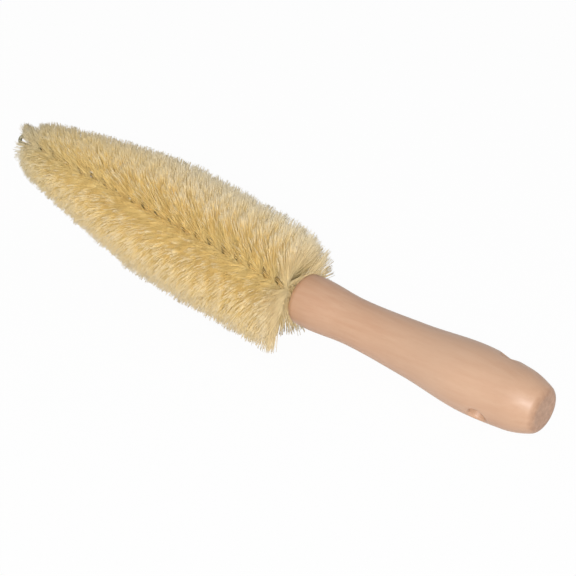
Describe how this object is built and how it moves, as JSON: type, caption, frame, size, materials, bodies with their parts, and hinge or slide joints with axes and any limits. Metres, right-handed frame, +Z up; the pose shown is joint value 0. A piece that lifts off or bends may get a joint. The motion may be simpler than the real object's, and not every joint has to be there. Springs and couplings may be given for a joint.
{
  "type": "cone wheel brush",
  "caption": "Wheel cleaning brush: natural fibre trimmed to a cylinder and a cone on a twisted wire stem, with a turned wooden handle that has a cross-drilled hang hole.",
  "frame": {"origin": "bottom centre of the brush's box: on the table it lies on, midway along its length and in the middle of its width", "axes": "+X runs from the tip of the head to the butt of the handle, +Y runs across the brush, +Z points up from the table; the brush lies on the fibre at the back of its head and on the belly of its handle"},
  "size_m": [0.3021, 0.0579, 0.0679],
  "materials": {
    "wood": "satin clear lacquer",
    "wire": "dull galvanised",
    "glue": "cured adhesive",
    "fibre": "dry natural fibre, matte"
  },
  "bodies": {
    "root": {"handle": "wood", "glue_sleeve": "glue", "stem_wire": "wire", "fibre_whorl_01": "fibre", "fibre_whorl_02": "fibre", "fibre_whorl_03": "fibre", "fibre_whorl_04": "fibre", "fibre_whorl_05": "fibre", "fibre_whorl_06": "fibre", "fibre_whorl_07": "fibre", "fibre_whorl_08": "fibre", "fibre_whorl_09": "fibre", "fibre_whorl_10": "fibre", "fibre_whorl_11": "fibre", "fibre_whorl_12": "fibre", "fibre_whorl_13": "fibre", "fibre_whorl_14": "fibre", "fibre_whorl_15": "fibre", "fibre_whorl_16": "fibre", "fibre_whorl_17": "fibre", "fibre_whorl_18": "fibre", "fibre_whorl_19": "fibre", "fibre_whorl_20": "fibre"}
  },
  "joints": []
}
